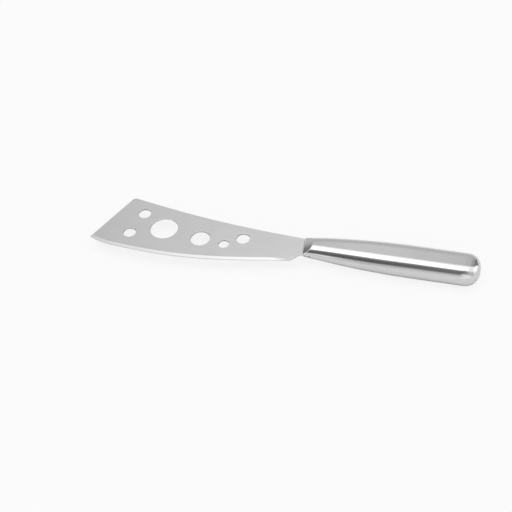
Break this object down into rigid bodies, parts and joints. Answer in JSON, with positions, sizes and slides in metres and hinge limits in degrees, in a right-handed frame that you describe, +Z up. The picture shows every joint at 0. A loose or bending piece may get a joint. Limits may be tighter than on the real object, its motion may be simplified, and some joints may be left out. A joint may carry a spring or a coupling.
{
  "type": "cheese knife",
  "caption": "All-steel cheese knife: a broad punched blade with a slanted front and a curved cutting edge, held in a hollow handle that swells to a round butt.",
  "frame": {"origin": "middle of the base, on the surface that the handle's underside rests on", "axes": "+X along the handle from the blade tip to the butt, +Y from the cutting edge to the spine, +Z up, square to the flat of the blade"},
  "size_m": [0.2282, 0.0406, 0.0138],
  "materials": {
    "blade_steel": "fine satin, brushed along the blade",
    "handle_steel": "satin, brushed along the handle, nearly polished",
    "bedding_resin": "cast resin, matt"
  },
  "bodies": {
    "root": {"blade": "blade_steel", "handle_upper_shell": "handle_steel", "handle_lower_shell": "handle_steel", "tang_bedding": "bedding_resin"}
  },
  "joints": []
}
